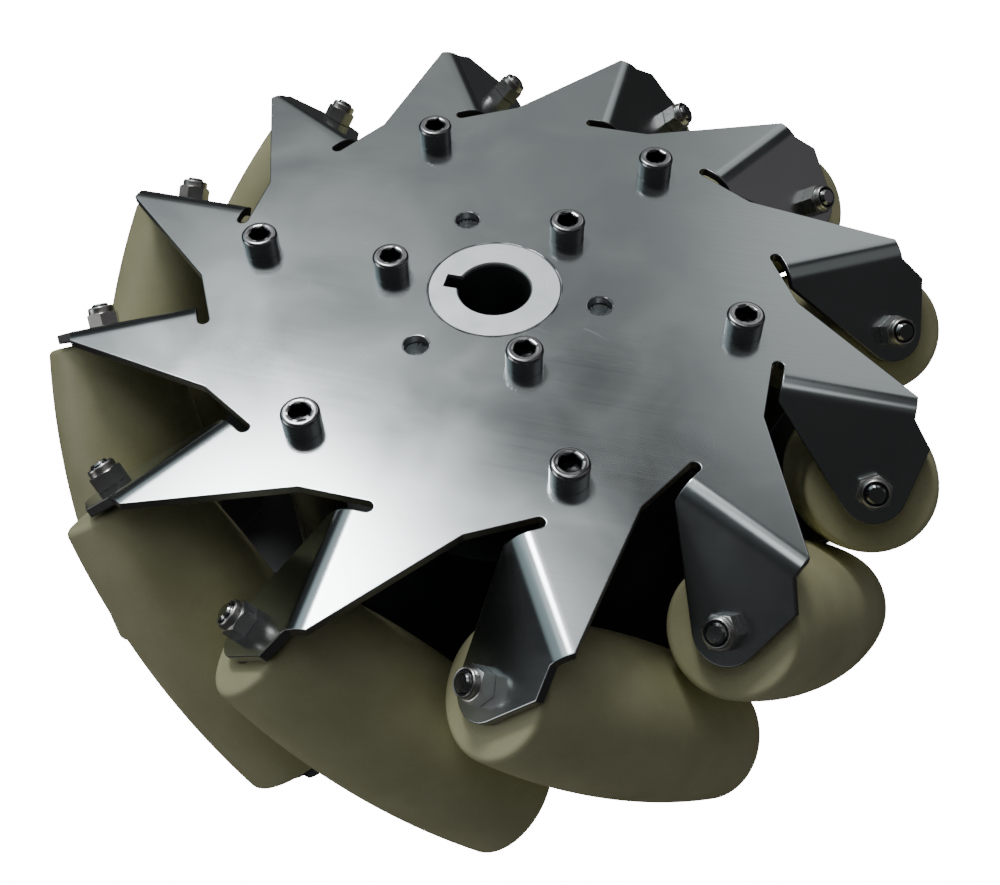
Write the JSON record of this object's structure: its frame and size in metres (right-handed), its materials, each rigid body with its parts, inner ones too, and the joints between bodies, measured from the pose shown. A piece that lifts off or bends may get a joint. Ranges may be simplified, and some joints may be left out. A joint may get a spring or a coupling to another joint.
{
  "type": "mecanum wheel",
  "caption": "Mecanum wheel with a keyed hub between two star-shaped steel plates, whose bent tabs carry barrel rollers on axles slanted across the rim.",
  "frame": {"origin": "on the hub's axis, half way between the two plates, which is the centre of the whole wheel", "axes": "+Z along the wheel's axis towards the front plate; +X through the middle of roller 1"},
  "size_m": [0.254, 0.254, 0.1094],
  "materials": {
    "plate_steel": "polished",
    "hub_aluminium": "fine turned",
    "spacer_aluminium": "turned",
    "screw_steel": "bright",
    "bearing_steel": "ground",
    "roller_nylon": "satin moulded"
  },
  "bodies": {
    "wheel_frame": {"front_plate": "plate_steel", "rear_plate": "plate_steel", "hub": "hub_aluminium", "plate_spacer_1": "spacer_aluminium", "plate_spacer_2": "spacer_aluminium", "plate_spacer_3": "spacer_aluminium", "plate_spacer_4": "spacer_aluminium", "plate_spacer_5": "spacer_aluminium", "plate_spacer_6": "spacer_aluminium", "front_rim_screws": "screw_steel", "rear_rim_screws": "screw_steel", "front_hub_screws": "screw_steel", "rear_hub_screws": "screw_steel", "axle_bolt_01": "screw_steel", "axle_bolt_02": "screw_steel", "axle_bolt_03": "screw_steel", "axle_bolt_04": "screw_steel", "axle_bolt_05": "screw_steel", "axle_bolt_06": "screw_steel", "axle_bolt_07": "screw_steel", "axle_bolt_08": "screw_steel", "axle_bolt_09": "screw_steel", "axle_bolt_10": "screw_steel", "axle_bolt_11": "screw_steel", "axle_bolt_12": "screw_steel", "axle_lock_nuts": "screw_steel", "bearing_inner_rings": "bearing_steel", "axle_sleeves": "spacer_aluminium", "side_washers": "bearing_steel"},
    "roller_body_01": {"roller_01": "roller_nylon", "bearing_outer_rings_01": "bearing_steel"},
    "roller_body_02": {"roller_02": "roller_nylon", "bearing_outer_rings_02": "bearing_steel"},
    "roller_body_03": {"roller_03": "roller_nylon", "bearing_outer_rings_03": "bearing_steel"},
    "roller_body_04": {"roller_04": "roller_nylon", "bearing_outer_rings_04": "bearing_steel"},
    "roller_body_05": {"roller_05": "roller_nylon", "bearing_outer_rings_05": "bearing_steel"},
    "roller_body_06": {"roller_06": "roller_nylon", "bearing_outer_rings_06": "bearing_steel"},
    "roller_body_07": {"roller_07": "roller_nylon", "bearing_outer_rings_07": "bearing_steel"},
    "roller_body_08": {"roller_08": "roller_nylon", "bearing_outer_rings_08": "bearing_steel"},
    "roller_body_09": {"roller_09": "roller_nylon", "bearing_outer_rings_09": "bearing_steel"},
    "roller_body_10": {"roller_10": "roller_nylon", "bearing_outer_rings_10": "bearing_steel"},
    "roller_body_11": {"roller_11": "roller_nylon", "bearing_outer_rings_11": "bearing_steel"},
    "roller_body_12": {"roller_12": "roller_nylon", "bearing_outer_rings_12": "bearing_steel"}
  },
  "joints": [
    {"name": "roller_spin_01", "type": "hinge", "parent": "wheel_frame", "child": "roller_body_01", "pos_m": [0.10677, 0, 0], "axis": [0, -0.7071, 0.7071], "continuous": true},
    {"name": "roller_spin_02", "type": "hinge", "parent": "wheel_frame", "child": "roller_body_02", "pos_m": [0.09247, 0.05339, 0], "axis": [0.3536, -0.6124, 0.7071], "continuous": true},
    {"name": "roller_spin_03", "type": "hinge", "parent": "wheel_frame", "child": "roller_body_03", "pos_m": [0.05339, 0.09247, 0], "axis": [0.6124, -0.3536, 0.7071], "continuous": true},
    {"name": "roller_spin_04", "type": "hinge", "parent": "wheel_frame", "child": "roller_body_04", "pos_m": [0, 0.10677, 0], "axis": [0.7071, 0, 0.7071], "continuous": true},
    {"name": "roller_spin_05", "type": "hinge", "parent": "wheel_frame", "child": "roller_body_05", "pos_m": [-0.05339, 0.09247, 0], "axis": [0.6124, 0.3536, 0.7071], "continuous": true},
    {"name": "roller_spin_06", "type": "hinge", "parent": "wheel_frame", "child": "roller_body_06", "pos_m": [-0.09247, 0.05339, 0], "axis": [0.3536, 0.6124, 0.7071], "continuous": true},
    {"name": "roller_spin_07", "type": "hinge", "parent": "wheel_frame", "child": "roller_body_07", "pos_m": [-0.10677, 0, 0], "axis": [0, 0.7071, 0.7071], "continuous": true},
    {"name": "roller_spin_08", "type": "hinge", "parent": "wheel_frame", "child": "roller_body_08", "pos_m": [-0.09247, -0.05339, 0], "axis": [-0.3536, 0.6124, 0.7071], "continuous": true},
    {"name": "roller_spin_09", "type": "hinge", "parent": "wheel_frame", "child": "roller_body_09", "pos_m": [-0.05339, -0.09247, 0], "axis": [-0.6124, 0.3536, 0.7071], "continuous": true},
    {"name": "roller_spin_10", "type": "hinge", "parent": "wheel_frame", "child": "roller_body_10", "pos_m": [0, -0.10677, 0], "axis": [-0.7071, 0, 0.7071], "continuous": true},
    {"name": "roller_spin_11", "type": "hinge", "parent": "wheel_frame", "child": "roller_body_11", "pos_m": [0.05339, -0.09247, 0], "axis": [-0.6124, -0.3536, 0.7071], "continuous": true},
    {"name": "roller_spin_12", "type": "hinge", "parent": "wheel_frame", "child": "roller_body_12", "pos_m": [0.09247, -0.05339, 0], "axis": [-0.3536, -0.6124, 0.7071], "continuous": true}
  ]
}
